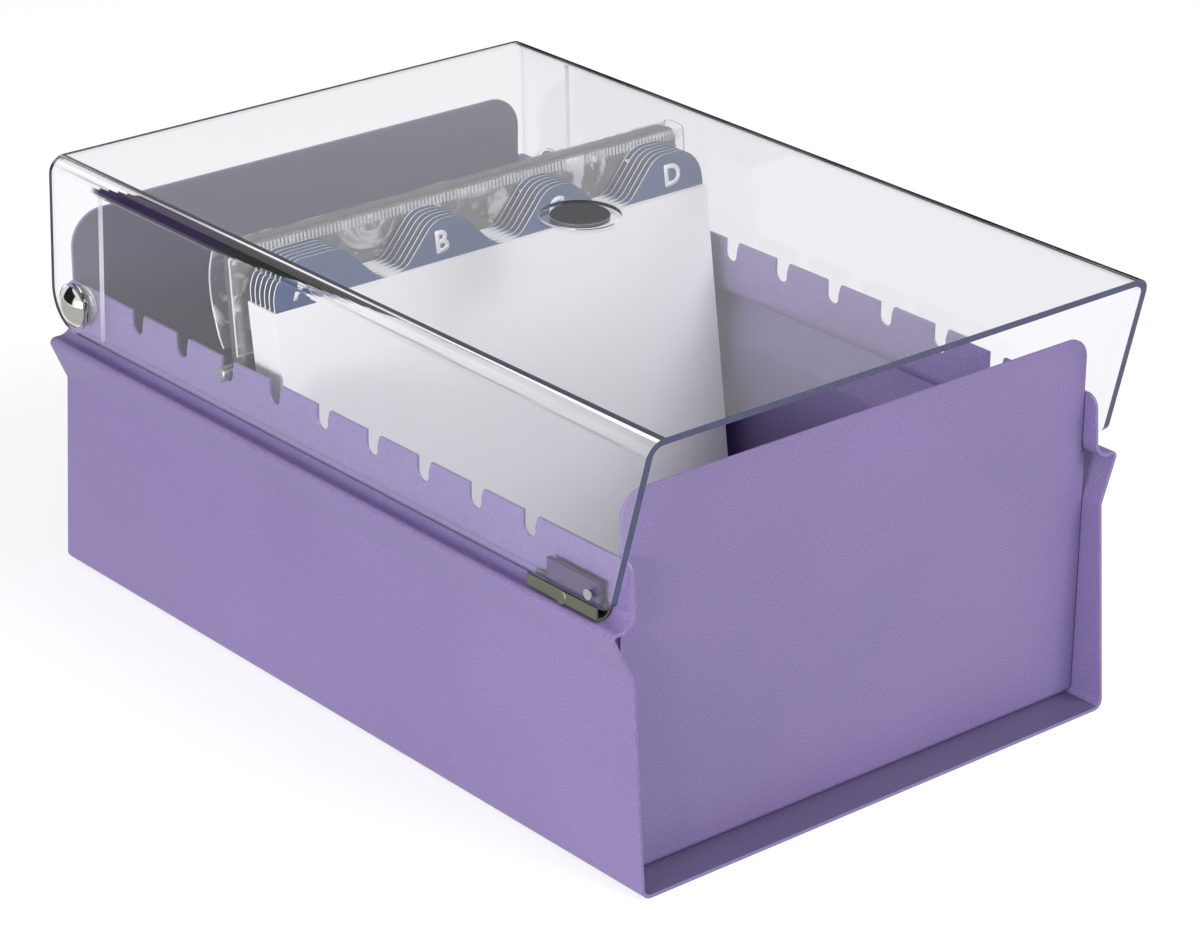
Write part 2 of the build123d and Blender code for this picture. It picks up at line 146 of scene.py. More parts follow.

# %% [markdown]
# ## Powder coat
#
# The steel is sprayed with dry powder and baked. The coat is satin, a little thicker than paint, and it melts into
# a very fine orange peel: low bumps nearly a millimetre across, with tiny lighter and darker grains. Noise at
# those two sizes drives the bump and the colour, and the roughness stays between satin and matt. The inner face of
# the back and the floor get darker copies of the same lilac, which are painted shade for the little light that
# reaches into the trough. The support plate has a coat of its own, in graphite.

# %% Powder coats
CLOUD_SIZE = 60.0
GRAIN_SIZE = 0.5
PEEL_SIZE = 0.9
PEEL_DEPTH = 0.03
DEEP_GRAINS, PALE_GRAINS = 0.32, 0.68


def powder_coat(name, pale, main, deep, peel_strength):
    """Baked powder in three close tones, a little cloudy, over a low orange peel."""
    material, tree = new_material(name)
    place = add_node(tree, "ShaderNodeTexCoord").outputs["Object"]
    clouds = add_node(tree, "ShaderNodeTexNoise", None, {
        "Vector": place, "Scale": per_metre(CLOUD_SIZE), "Detail": 2.0})
    grain = add_node(tree, "ShaderNodeTexNoise", None, {
        "Vector": place, "Scale": per_metre(GRAIN_SIZE), "Detail": 3.0, "Roughness": 0.7})
    peel = add_node(tree, "ShaderNodeTexNoise", None, {
        "Vector": place, "Scale": per_metre(PEEL_SIZE), "Detail": 1.0})
    tint = add_node(tree, "ShaderNodeValToRGB", None, {"Fac": grain})
    set_stops(tint, ((DEEP_GRAINS, linear(deep)), (0.5, linear(main)), (PALE_GRAINS, linear(pale))))
    level = add_node(tree, "ShaderNodeMapRange", None, {
        "Value": clouds, "From Min": 0.3, "From Max": 0.7, "To Min": 0.96, "To Max": 1.04})
    colour = add_node(tree, "ShaderNodeVectorMath", {"operation": "SCALE"}, {0: tint, "Scale": level})
    satin = add_node(tree, "ShaderNodeMapRange", None, {"Value": grain, "To Min": 0.38, "To Max": 0.56})
    bump = add_node(tree, "ShaderNodeBump", None, {
        "Height": peel, "Strength": peel_strength, "Distance": PEEL_DEPTH * MM})
    skin = add_node(tree, "ShaderNodeBsdfPrincipled", None, {
        "Base Color": colour, "Roughness": satin, "Normal": bump, "IOR": 1.5})
    add_node(tree, "ShaderNodeOutputMaterial", None, {"Surface": skin})
    return material


# Full coat: satin lilac with a peel that just breaks up the highlights.
lilac_coat = powder_coat("lilac_powder_coat", "#9485b4", "#8575a8", "#766697", 0.22)
# Floor: the same lilac a shade deeper, as painted shade.
floor_painted_shade_coat = powder_coat("floor_lilac_painted_shade", "#6f648a", "#63587b", "#564c6d", 0.15)
# Inner face of the back: painted shade, a dull grey violet, nearly smooth.
back_inside_painted_shade_coat = powder_coat("back_inside_lilac_painted_shade", "#58526b", "#4c4661", "#403a53", 0.02)
# Support plate: a dark green grey that makes the white guides stand out.
grey_coat = powder_coat("graphite_powder_coat", "#585d5b", "#494e4c", "#3b403e", 0.15)
print("powder coats:", lilac_coat.name, floor_painted_shade_coat.name, back_inside_painted_shade_coat.name, grey_coat.name)

# %% [markdown]
# ## Edges that catch the light
#
# A sheared sheet edge is never perfectly sharp, and the coat rounds it further. Those
# rounded edges are the thin bright lines along every fold and rim. The engineering solids
# have sharp edges, so the sheet pieces are copied, their triangles are merged, and a small
# bevel modifier rounds each edge that is sharper than a fold's facets.

# %% A finished copy of a rigid node
MERGE_REACH = 0.002
FLAT_WITHIN = math.radians(0.3)
SHARP_EDGE = 35
BEND_EDGE = 30


def select_only(piece):
    """Make this piece the only selected one."""
    bpy.ops.object.select_all(action="DESELECT")
    piece.select_set(True)
    bpy.context.view_layer.objects.active = piece


def apply_all(piece):
    """Apply every modifier of this piece."""
    select_only(piece)
    for modifier in list(piece.modifiers):
        bpy.ops.object.modifier_apply(modifier=modifier.name)


def finished_copy(node, name, edge_mm, smooth_degrees=SHARP_EDGE):
    """A merged copy of a node with rounded edges, which stands for it on its body."""
    piece = bpy.data.objects.new(name, nodes[node].data.copy())
    bpy.context.scene.collection.objects.link(piece)
    piece.data.materials.clear()
    select_only(piece)
    bpy.ops.object.mode_set(mode="EDIT")
    bpy.ops.mesh.select_all(action="SELECT")
    bpy.ops.mesh.remove_doubles(threshold=MERGE_REACH * MM)
    bpy.ops.mesh.dissolve_limited(angle_limit=FLAT_WITHIN)
    bpy.ops.object.mode_set(mode="OBJECT")
    if edge_mm:
        bevel = piece.modifiers.new("rounded_edges", "BEVEL")
        bevel.width = edge_mm * MM
        bevel.segments = 2
        bevel.limit_method = "ANGLE"
        bevel.angle_limit = math.radians(smooth_degrees)
        bevel.use_clamp_overlap = True
        apply_all(piece)
    select_only(piece)
    bpy.ops.object.shade_smooth_by_angle(angle=math.radians(smooth_degrees))
    flat_faces = piece.modifiers.new("flat_faces_stay_flat", "WEIGHTED_NORMAL")
    flat_faces.keep_sharp = True
    apply_all(piece)
    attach(piece, bodies[node])
    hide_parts(node)
    return piece


# %% The folded sheets and the support plate
SHEET_EDGE = 0.18
FLOOR_REACH = 6
SQUARE_ON = 0.9  # share of a normal along an axis above which a face looks that way
SHEET_COATS = (lilac_coat, back_inside_painted_shade_coat, floor_painted_shade_coat)


def coat_of(node, face):
    """Which of the sheet coats a face of this sheet gets."""
    # Painted shade: the inner face of the back and the floor's upward faces get the darker coats.
    if node == "back_panel" and face.normal.y < -SQUARE_ON:
        return back_inside_painted_shade_coat
    if node == "trough" and face.normal.z > SQUARE_ON and face.center.z < FLOOR_REACH * MM:
        return floor_painted_shade_coat
    return lilac_coat


for node, name in (("trough", "folded_trough"), ("front_panel", "front_sheet"), ("back_panel", "back_sheet")):
    sheet_piece = finished_copy(node, name, SHEET_EDGE)
    for coat in SHEET_COATS:
        sheet_piece.data.materials.append(coat)
    for face in sheet_piece.data.polygons:
        face.material_index = SHEET_COATS.index(coat_of(node, face))
    print(name, len(sheet_piece.data.polygons), "faces")
plate_piece = finished_copy("support_plate", "support_plate_coated", SHEET_EDGE)
plate_piece.data.materials.append(grey_coat)

# %% [markdown]
# ## Clear acrylic
#
# The lid is one acrylic sheet, heated and bent over two long edges. Its faces are glass that bends light. Lamps
# have to reach what stands under the lid, and glass stops them in a path tracer, so rays that only carry light
# pass through a clear shader instead. Light that enters the faces leaves at the sawn ends, and that light is
# painted into the ends' colour: a painted slate blue glow in front, and a painted near black reflection at the
# back, where they face the dark side of the room. The right bend carries a painted black reflection line. Pieces
# that lie against the lid are too thin to bend what is behind them, and a faint veil is enough for them.

# %% Acrylic finishes
CLEAR = "#fcfcfe"
ACRYLIC_IOR = 1.49
SMEAR_SIZE = 45
SAW_MARK = 3.0
VEIL_SIZE = 20


def lit_through(tree, skin):
    """Let lamp light pass this skin without a turn."""
    ray = add_node(tree, "ShaderNodeLightPath")
    lamp_ray = add_node(tree, "ShaderNodeMath", {"operation": "MAXIMUM"}, {
        0: ray.outputs["Is Shadow Ray"], 1: ray.outputs["Is Diffuse Ray"]})
    passing = add_node(tree, "ShaderNodeBsdfTransparent", None, {"Color": linear(CLEAR)})
    return add_node(tree, "ShaderNodeMixShader", None, {"Fac": lamp_ray, 1: skin, 2: passing})


def polished_sheet(name):
    """The sheet's faces: clear, with hands' smears that dull the gloss a little."""
    material, tree = new_material(name)
    place = add_node(tree, "ShaderNodeTexCoord").outputs["Object"]
    smears = add_node(tree, "ShaderNodeTexNoise", None, {
        "Vector": place, "Scale": per_metre(SMEAR_SIZE), "Detail": 4.0})
    polish = add_node(tree, "ShaderNodeMapRange", None, {
        "Value": smears, "From Min": 0.35, "From Max": 0.75, "To Min": 0.0, "To Max": 0.03})
    glass = add_node(tree, "ShaderNodeBsdfPrincipled", None, {
        "Base Color": linear(CLEAR), "Roughness": polish, "IOR": ACRYLIC_IOR, "Transmission Weight": 1.0})
    add_node(tree, "ShaderNodeOutputMaterial", None, {"Surface": lit_through(tree, glass)})
    return material


def sawn_edge(name, deep, pale, clear_beyond=None):
    """Polished saw cut with faint marks, coloured with painted light between deep and pale. To the right of
    clear_beyond it is nearly clear.
    """
    material, tree = new_material(name)
    place = add_node(tree, "ShaderNodeTexCoord").outputs["Object"]
    marks = add_node(tree, "ShaderNodeTexNoise", None, {
        "Vector": place, "Scale": per_metre(SAW_MARK), "Detail": 2.0})
    tint = add_node(tree, "ShaderNodeMix", COLOUR_MIX, {
        "Factor": marks, FIRST: linear(deep), SECOND: linear(pale)})
    look = {"Base Color": tint, "Roughness": 0.16, "IOR": ACRYLIC_IOR}
    if clear_beyond:
        across = add_node(tree, "ShaderNodeSeparateXYZ", None, {"Vector": place}).outputs["X"]
        look["Specular IOR Level"] = 0.1
        look["Alpha"] = add_node(tree, "ShaderNodeMapRange", None, {
            "Value": across, "From Min": clear_beyond * MM, "From Max": (clear_beyond + 1) * MM,
            "To Min": 1.0, "To Max": 0.12})
    edge = add_node(tree, "ShaderNodeBsdfPrincipled", None, look)
    add_node(tree, "ShaderNodeOutputMaterial", None, {"Surface": edge})
    return material


def thin_plastic(name, tint, cover, roughness, shine=0.5):
    """A see-through skin that hides this share of what is behind it."""
    material, tree = new_material(name)
    place = add_node(tree, "ShaderNodeTexCoord").outputs["Object"]
    smears = add_node(tree, "ShaderNodeTexNoise", None, {
        "Vector": place, "Scale": per_metre(VEIL_SIZE), "Detail": 3.0})
    veil = add_node(tree, "ShaderNodeMapRange", None, {
        "Value": smears, "From Min": 0.3, "From Max": 0.7,
        "To Min": cover * 0.8, "To Max": min(cover * 1.2, 1.0)})
    skin = add_node(tree, "ShaderNodeBsdfPrincipled", None, {
        "Base Color": linear(tint), "Roughness": roughness, "IOR": ACRYLIC_IOR,
        "Alpha": veil, "Specular IOR Level": shine})
    add_node(tree, "ShaderNodeOutputMaterial", None, {"Surface": skin})
    return material


# Faces: nothing but a slight bend of what is behind.
acrylic = polished_sheet("bent_clear_acrylic")
# Front cut: slate blue painted glow, the brightest outline of the lid.
front_cut_painted_glow = sawn_edge("front_acrylic_cut_painted_glow", "#20264a", "#3d4678")
# Back cut: a painted dark reflection, a thin outline lost against the bright room at the far corner.
back_cut_painted_shade = sawn_edge("back_acrylic_cut_painted_shade", "#24272c", "#444c54", 84)
# Right bend: a painted dark reflection, one black line for the dark side of the room that the bend gathers edge
# on.
right_bend_painted_reflection = thin_plastic("acrylic_bend_painted_reflection", "#1c1e22", 0.95, 0.6, 0.0)
print("acrylic finishes:", acrylic.name, front_cut_painted_glow.name, back_cut_painted_shade.name, right_bend_painted_reflection.name)

# %% [markdown]
# ## The left bend
#
# A bend in clear sheet works as a long lens: it squeezes the room and the inside of the
# drawer into bands that run along it, dark on top, then a white line, then clear. Below the
# white line it also mirrors the register and the back as one dark wedge, which tapers off
# toward the front and ends short of the back cut. A renderer's glass doesn't find these
# few bright and dark sources, so the bands are painted over the glass. How far a face has
# turned from the top, in degrees, is worked out from its normal, and the bands follow it.

# %% Bands of the left bend
# Degrees from the top, colour, and the share of the glass that the band hides.
BANDS = (
    (0, "#474455", 0.0), (2, "#474455", 0.86), (19, "#474455", 0.84),
    (22, "#ffffff", 0.95), (29, "#ffffff", 0.95),
    (32, "#7f837e", 0.2), (50, "#8b8f8a", 0.16),
    (54, "#ffffff", 0.22), (78, "#ffffff", 0.2),
    (81, "#6f7072", 0.3), (86, "#6f7072", 0.3), (89, "#6f7072", 0.0))
BAND_WIDENING = ((-130, 1.0), (130, 1.7))  # toward the back the bands spread
# The wedge's two long sides run straight between points, each in mm behind the middle of
# the drawer and degrees from the top. The third value is how soft the side is, in degrees.
WEDGE_SIDES = (((85, 25), (109, 74), 1.5), ((-38, 24), (46, 84), -2))
WEDGE_END = (107, 102)
WEDGE_COVER = 0.88
WEDGE_TURN = (30, 55)  # where its green grey becomes violet
QUARTER_TURN = 90


def bend_with_bands(name):
    """Glass with the painted bands and the dark wedge of the left bend."""
    material, tree = new_material(name)
    where = add_node(tree, "ShaderNodeTexCoord")
    normal = add_node(tree, "ShaderNodeSeparateXYZ", None, {"Vector": where.outputs["Normal"]})
    depth = add_node(tree, "ShaderNodeSeparateXYZ", None, {"Vector": where.outputs["Object"]}).outputs["Y"]
    outward = add_node(tree, "ShaderNodeMath", {"operation": "ABSOLUTE"}, {0: normal.outputs["X"]})
    turned = add_node(tree, "ShaderNodeMath", {"operation": "ARCTAN2"}, {0: outward, 1: normal.outputs["Z"]})
    degrees = add_node(tree, "ShaderNodeMath", {"operation": "DEGREES"}, {0: turned})
    (front_y, front_share), (back_y, back_share) = BAND_WIDENING
    widening = add_node(tree, "ShaderNodeMapRange", None, {
        "Value": depth, "From Min": front_y * MM, "From Max": back_y * MM,
        "To Min": front_share, "To Max": back_share})
    widened = add_node(tree, "ShaderNodeMath", {"operation": "MULTIPLY"}, {0: degrees, 1: widening})
    share = add_node(tree, "ShaderNodeMath", {"operation": "DIVIDE"}, {0: widened, 1: QUARTER_TURN})
    tint = add_node(tree, "ShaderNodeValToRGB", None, {"Fac": share})
    set_stops(tint, [(degree / QUARTER_TURN, linear(colour)) for degree, colour, hidden in BANDS])
    cover = add_node(tree, "ShaderNodeValToRGB", None, {"Fac": share})
    hiding = [(degree / QUARTER_TURN, (hidden, hidden, hidden, 1)) for degree, colour, hidden in BANDS]
    set_stops(cover, hiding)

    inside = add_node(tree, "ShaderNodeMapRange", None, {
        "Value": depth, "From Min": WEDGE_END[0] * MM, "From Max": WEDGE_END[1] * MM})
    for (start_y, start_degrees), (end_y, end_degrees), soft in WEDGE_SIDES:
        line = add_node(tree, "ShaderNodeMapRange", None, {
            "Value": depth, "From Min": start_y * MM, "From Max": end_y * MM,
            "To Min": start_degrees, "To Max": end_degrees})
        past = add_node(tree, "ShaderNodeMath", {"operation": "SUBTRACT"}, {0: degrees, 1: line})
        within = add_node(tree, "ShaderNodeMapRange", None, {
            "Value": past, "From Min": -soft, "From Max": soft})
        inside = add_node(tree, "ShaderNodeMath", {"operation": "MULTIPLY"}, {0: inside, 1: within})
    turn = add_node(tree, "ShaderNodeMapRange", None, {
        "Value": depth, "From Min": WEDGE_TURN[0] * MM, "From Max": WEDGE_TURN[1] * MM})
    wedge_tint = add_node(tree, "ShaderNodeMix", COLOUR_MIX, {
        "Factor": turn, FIRST: linear("#2c2f2a"), SECOND: linear("#362b49")})
    painted = add_node(tree, "ShaderNodeMix", COLOUR_MIX, {
        "Factor": inside, FIRST: tint, SECOND: wedge_tint})
    shade = add_node(tree, "ShaderNodeMath", {"operation": "MULTIPLY"}, {0: inside, 1: WEDGE_COVER})
    covered = add_node(tree, "ShaderNodeMath", {"operation": "MAXIMUM"}, {0: cover, 1: shade})

    opaque = add_node(tree, "ShaderNodeMapRange", None, {"Value": covered, "From Max": 0.5})
    colour = add_node(tree, "ShaderNodeMix", COLOUR_MIX, {
        "Factor": opaque, FIRST: linear(CLEAR), SECOND: painted})
    clear = add_node(tree, "ShaderNodeMapRange", None, {"Value": covered, "To Min": 1.0, "To Max": 0.0})
    skin = add_node(tree, "ShaderNodeBsdfPrincipled", None, {
        "Base Color": colour, "Roughness": 0.05, "IOR": ACRYLIC_IOR, "Transmission Weight": clear})
    add_node(tree, "ShaderNodeOutputMaterial", None, {"Surface": lit_through(tree, skin)})
    return material


left_bend = bend_with_bands("left_acrylic_bend")
print(len(BANDS), "stops of bands on", left_bend.name)

# %% [markdown]
# ## The lid
#
# The lid's copy keeps its sharp cuts, and only the bends are shaded smooth. Each face then
# picks its finish by where it looks: the sawn cuts look along the sheet, and the outer faces
# of the bends lean between the top and the walls. The walls flare by two degrees, so the
# limits leave them out. The holes for the rivets are drilled, and stay clear.

# %% Finishes by face
LID_FINISHES = (acrylic, front_cut_painted_glow, back_cut_painted_shade, left_bend, right_bend_painted_reflection)
HOLE_REACH = 9
LOWER_CUT_REACH = 14
TURNED_DOWN = 0.3
TURNED_ASIDE = 0.3
TURNED_TO_END = 0.6
SQUARE_TO_END = 0.1
LEAST_LEAN = 1
MOST_LEAN = {left_bend: 87, right_bend_painted_reflection: 60}
lid_low, lid_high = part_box("lid")
pivot = Vector(joints["lid_hinge"]["pos_m"])


def lid_finish(face):
    """The finish of one face of the lid."""
    normal, centre = face.normal, face.center
    lower_cut = normal.z < -TURNED_DOWN and centre.z < lid_low.z + LOWER_CUT_REACH * MM
    end_cut = abs(normal.y) > TURNED_TO_END
    drilled = (centre.yz - pivot.yz).length < HOLE_REACH * MM
    if abs(normal.x) < TURNED_ASIDE and (lower_cut or end_cut) and not drilled:
        return back_cut_painted_shade if normal.y > TURNED_TO_END else front_cut_painted_glow
    lean = math.degrees(math.atan2(abs(normal.x), normal.z))
    bend = left_bend if centre.x < 0 else right_bend_painted_reflection
    outer = normal.x * centre.x > 0 and abs(normal.y) < SQUARE_TO_END
    return bend if outer and LEAST_LEAN < lean < MOST_LEAN[bend] else acrylic


lid_piece = finished_copy("lid", "clear_lid", 0.0, BEND_EDGE)
for finish in LID_FINISHES:
    lid_piece.data.materials.append(finish)
for face in lid_piece.data.polygons:
    face.material_index = LID_FINISHES.index(lid_finish(face))
for number, finish in enumerate(LID_FINISHES):
    print(finish.name, sum(face.material_index == number for face in lid_piece.data.polygons), "faces")

# %% [markdown]
# ## Hinge plates and disc ring
#
# Two clear plates stiffen the lid's walls at the hinge, and a turned clear ring frames the disc. All three lie
# against the lid. Two skins in one place confuse a path tracer, which then loses count of whether a ray is in the
# glass, so the copies stand off by a few hundredths of a millimetre. Their faces are all but invisible, and their
# cut edges carry a painted highlight that makes them bright lines.

# %% Clear pieces on the lid
STAND_OFF = 0.06
RING_STAND_OFF = 0.05
RING_EDGE = 0.25
FRONT_CUT_LOOK = 0.7
RING_FACE_LOOK = 0.8
# Cut edge: a painted highlight, a white line like a bright wire.
cut_edge_painted_highlight = thin_plastic("cut_acrylic_painted_highlight", "#f4f5f8", 0.8, 0.2)
# Plate faces: a breath of white.
plate_face = thin_plastic("clear_hinge_acrylic", "#f2f3f6", 0.03, 0.4, 0.05)
# Ring face: turned, so a little hazier.
ring_face = thin_plastic("turned_clear_ring", "#f6f7f9", 0.05, 0.3, 0.1)
for side in ("left", "right"):
    hinge_node = f"lid_hinge_plate_{side}"
    hinge_piece = finished_copy(hinge_node, f"hinge_plate_{side}", 0.0, BEND_EDGE)
    hinge_piece.data.materials.append(plate_face)
    hinge_piece.data.materials.append(cut_edge_painted_highlight)
    for face in hinge_piece.data.polygons:
        face.material_index = 1 if face.normal.y < -FRONT_CUT_LOOK else 0
    for vertex in hinge_piece.data.vertices:
        vertex.co.x -= math.copysign(STAND_OFF * MM, vertex.co.x)
ring_piece = finished_copy("lid_disc_ring", "clear_disc_ring", RING_EDGE, BEND_EDGE)
ring_piece.data.materials.append(ring_face)
ring_piece.data.materials.append(cut_edge_painted_highlight)
for face in ring_piece.data.polygons:
    face.material_index = 1 if abs(face.normal.z) < RING_FACE_LOOK else 0
for vertex in ring_piece.data.vertices:
    vertex.co.z = max(vertex.co.z, lid_high.z + RING_STAND_OFF * MM)
print("ring:", len(ring_piece.data.polygons), "faces")

# %% [markdown]
# ## Moulded plastics
#
# The disc in the middle of the lid is moulded with a fine spark-eroded texture. It is darker
# and rougher than the lid, with a slight grey sheen. The washers are natural nylon, waxy and
# off-white, and the magnets are plastic filled with magnetic powder, matt and dark. The
# three differ only in tint, roughness and grain.

# %% Moulded finishes
def moulded(name, pale, deep, grain_mm, roughness, bump_mm):
    """A moulded surface with one grain for its colour and its bump."""
    material, tree = new_material(name)
    place = add_node(tree, "ShaderNodeTexCoord").outputs["Object"]
    grain = add_node(tree, "ShaderNodeTexNoise", None, {
        "Vector": place, "Scale": per_metre(grain_mm), "Detail": 3.0})
    tint = add_node(tree, "ShaderNodeMix", COLOUR_MIX, {
        "Factor": grain, FIRST: linear(deep), SECOND: linear(pale)})
    bump = add_node(tree, "ShaderNodeBump", None, {
        "Height": grain, "Strength": 0.4, "Distance": bump_mm * MM})
    skin = add_node(tree, "ShaderNodeBsdfPrincipled", None, {
        "Base Color": tint, "Roughness": roughness, "Normal": bump, "IOR": 1.5})
    add_node(tree, "ShaderNodeOutputMaterial", None, {"Surface": skin})
    return material


# Disc: dark grey with a soft sheen.
wear(moulded("textured_dark_plastic", "#4a4c4e", "#3a3c3e", 0.4, 0.5, 0.03), "lid_disc")
# Washers: waxy off-white between flange and hinge plate.
wear(moulded("natural_nylon", "#e6e4dc", "#d8d6cc", 1.5, 0.35, 0.02),
     "pivot_washer_left", "pivot_washer_right")
# Magnets: matt near black, with a violet tint that is painted shade, for the dark purple shade of the coat around
# them.
wear(moulded("magnet_painted_violet_shade", "#4c3a66", "#3a2b52", 0.6, 0.55, 0.03),
     "catch_magnet_left", "catch_magnet_right")
print("moulded: disc, two washers, two magnets")

# %% [markdown]
# ## Bright and passivated metals
#
# The hinge rivets are nickel plated and polished, so they mirror the room. The clips are
# spring steel with an olive grey passivation, rolled lengthwise, which leaves long faint
# lines. All metals here are fully metallic and differ only in tint, roughness and grain.

# %% Metals
CLIP_EDGE = 0.08


def metal(name, tint, low_rough, high_rough, grain_mm, stretch):
    """Rolled or polished metal; stretch is how much longer its grain is along Y."""
    material, tree = new_material(name)
    place = add_node(tree, "ShaderNodeTexCoord").outputs["Object"]
    rolled = add_node(tree, "ShaderNodeMapping", None, {"Vector": place, "Scale": (1, 1 / stretch, 1)})
    grain = add_node(tree, "ShaderNodeTexNoise", None, {
        "Vector": rolled, "Scale": per_metre(grain_mm), "Detail": 3.0})
    polish = add_node(tree, "ShaderNodeMapRange", None, {
        "Value": grain, "To Min": low_rough, "To Max": high_rough})
    skin = add_node(tree, "ShaderNodeBsdfPrincipled", None, {
        "Base Color": linear(tint), "Metallic": 1.0, "Roughness": polish})
    add_node(tree, "ShaderNodeOutputMaterial", None, {"Surface": skin})
    return material


# Rivets: warm white mirrors.
polished_nickel = metal("polished_nickel_plate", "#d9d8d2", 0.04, 0.12, 1.0, 1)
# Clips: dull olive, with the sheen drawn out along the clip.
olive_steel = metal("passivated_spring_steel", "#7f8474", 0.34, 0.5, 0.5, 12)
# Lugs: plain turned pins, greyer and less bright.
plain_steel = metal("turned_steel", "#8a8d90", 0.25, 0.4, 0.5, 1)
wear(polished_nickel, "pivot_rivet_left", "pivot_rivet_right", "catch_rivet_left", "catch_rivet_right")
wear(plain_steel, "support_lug_left", "support_lug_right")
for side in ("left", "right"):
    clip_piece = finished_copy(f"catch_clip_{side}", f"clip_{side}", CLIP_EDGE)
    clip_piece.data.materials.append(olive_steel)
    print(clip_piece.name, len(clip_piece.data.polygons), "faces")

# %% [markdown]
# ## Board guides with printed tabs
#
# A guide is die-cut from white board. Above its shoulder the tab is printed navy on both
# faces, but the cut edge stays white, and that edge draws the fine white curves where the
# guides step behind each other. All guides stand on the same foot line, so the print starts
# at one height, and the cut edge is found by its normal, which differs from the faces'.

# %% Guide board
GUIDE_LEAN = math.radians(8.4)
TAB_HEIGHT = 12.0
FIBRE_SIZE = 0.8
FACE_NOT_EDGE = 0.7
print_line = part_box("guide_01")[1].z - TAB_HEIGHT * math.cos(GUIDE_LEAN) * MM


def guide_board(name):
    """Matt white board with fine fibres, navy where a tab's face is printed."""
    material, tree = new_material(name)
    where = add_node(tree, "ShaderNodeTexCoord")
    fibres = add_node(tree, "ShaderNodeTexNoise", None, {
        "Vector": where.outputs["Object"], "Scale": per_metre(FIBRE_SIZE), "Detail": 4.0})
    board = add_node(tree, "ShaderNodeMix", COLOUR_MIX, {
        "Factor": fibres, FIRST: linear("#f6f6f3"), SECOND: linear("#fdfdfb")})
    ink = add_node(tree, "ShaderNodeMix", COLOUR_MIX, {
        "Factor": fibres, FIRST: linear("#29416b"), SECOND: linear("#334b76")})
    height = add_node(tree, "ShaderNodeSeparateXYZ", None, {"Vector": where.outputs["Object"]})
    above = add_node(tree, "ShaderNodeMath", {"operation": "GREATER_THAN"}, {
        0: height.outputs["Z"], 1: print_line})
    facing = add_node(tree, "ShaderNodeVectorMath", {"operation": "DOT_PRODUCT"}, {
        0: where.outputs["Normal"], 1: (0, math.cos(GUIDE_LEAN), -math.sin(GUIDE_LEAN))})
    either_way = add_node(tree, "ShaderNodeMath", {"operation": "ABSOLUTE"}, {0: facing})
    face = add_node(tree, "ShaderNodeMath", {"operation": "GREATER_THAN"}, {0: either_way, 1: FACE_NOT_EDGE})
    printed = add_node(tree, "ShaderNodeMath", {"operation": "MULTIPLY"}, {0: above, 1: face})
    colour = add_node(tree, "ShaderNodeMix", COLOUR_MIX, {"Factor": printed, FIRST: board, SECOND: ink})
    bump = add_node(tree, "ShaderNodeBump", None, {
        "Height": fibres, "Strength": 0.25, "Distance": 0.03 * MM})
    skin = add_node(tree, "ShaderNodeBsdfPrincipled", None, {
        "Base Color": colour, "Roughness": 0.62, "Normal": bump, "IOR": 1.45})
    add_node(tree, "ShaderNodeOutputMaterial", None, {"Surface": skin})
    return material


guide_names = sorted(name for name in nodes if name.startswith("guide_"))
# Board: bright matt white, so the stack of cut edges reads as fine lines.
wear(guide_board("printed_guide_board"), *guide_names)
print(len(guide_names), "guides, printed above", round(print_line / MM, 1), "mm")

# %% [markdown]
# ## Tab letters
#
# The letters are screen printed in white over the navy. Each is a text object turned into
# a mesh, scaled to the real cap height, laid on its leaning tab, and left standing a few
# hundredths of a millimetre proud, as thick ink does. The printer didn't centre them, so
# each column has its own shift.

# %% Letters
CAP_HEIGHT = 6.6
LETTER_RISE = 2.2
LETTER_WEIGHT = 0.034
INK = 0.06
INK_SINK = 0.02
TAB_MIDDLES = (-59.8, -17.9, 24.0, 65.9)
LETTER_SHIFTS = (-9.0, -2.4, -1.6, 1.2)
LETTERS = "ABCDEFGHIJKLMNOPQRSTUVW"
LAST_LETTERS = "XYZ"
# Ink: a slightly rounded white that stays bright on the navy.
white_ink = moulded("white_screen_ink", "#f6f6f4", "#ecebe8", 1.0, 0.45, 0.01)


def printed_letter(words, node, middle_x):
    """A word on one guide's tab, centred on middle_x."""
    select_only(nodes[node])
    bpy.ops.object.text_add(location=(0, 0, 0))
    text = bpy.context.object
    text.data.body = words
    text.data.align_x = "CENTER"
    text.data.offset = LETTER_WEIGHT
    text.data.resolution_u = 4
    select_only(text)
    bpy.ops.object.convert(target="MESH")
    letter = bpy.context.object
    letter.name = f"{node}_letter"
    corners = [vertex.co.copy() for vertex in letter.data.vertices]
    base = min(corner.y for corner in corners)
    size = CAP_HEIGHT / (max(corner.y for corner in corners) - base)
    centre = (max(corner.x for corner in corners) + min(corner.x for corner in corners)) / 2
    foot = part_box(node)[0]
    rise = (print_line - foot.z) / MM / math.cos(GUIDE_LEAN) + LETTER_RISE
    for vertex in letter.data.vertices:
        across = middle_x + (vertex.co.x - centre) * size
        up = rise + (vertex.co.y - base) * size
        vertex.co = Vector((
            across * MM,
            foot.y + (up * math.sin(GUIDE_LEAN) - INK_SINK) * MM,
            foot.z + up * math.cos(GUIDE_LEAN) * MM))
    ink = letter.modifiers.new("ink_thickness", "SOLIDIFY")
    ink.thickness = INK * MM
    ink.offset = 1
    apply_all(letter)
    letter.data.materials.clear()
    letter.data.materials.append(white_ink)
    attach(letter, bodies[node])


for order, node in enumerate(guide_names):
    words = LETTERS[order] if order < len(LETTERS) else LAST_LETTERS
    column = order % len(TAB_MIDDLES)
    printed_letter(words, node, TAB_MIDDLES[column] + LETTER_SHIFTS[column])
print(len(guide_names), "tabs lettered in", len(TAB_MIDDLES), "columns")

# %% [markdown]
# ## Film sleeve
#
# A thin clear film hangs over the support plate's top edge. It keeps its fold, but it is
# limp: it puckers where nothing presses it flat, between the tabs, and bulges behind the
# plate. The sheet is a grid bent over the plate's section, then pushed out by a formula.
# Distances along the plate's lean are kept from the axis of the lugs that it hangs on.

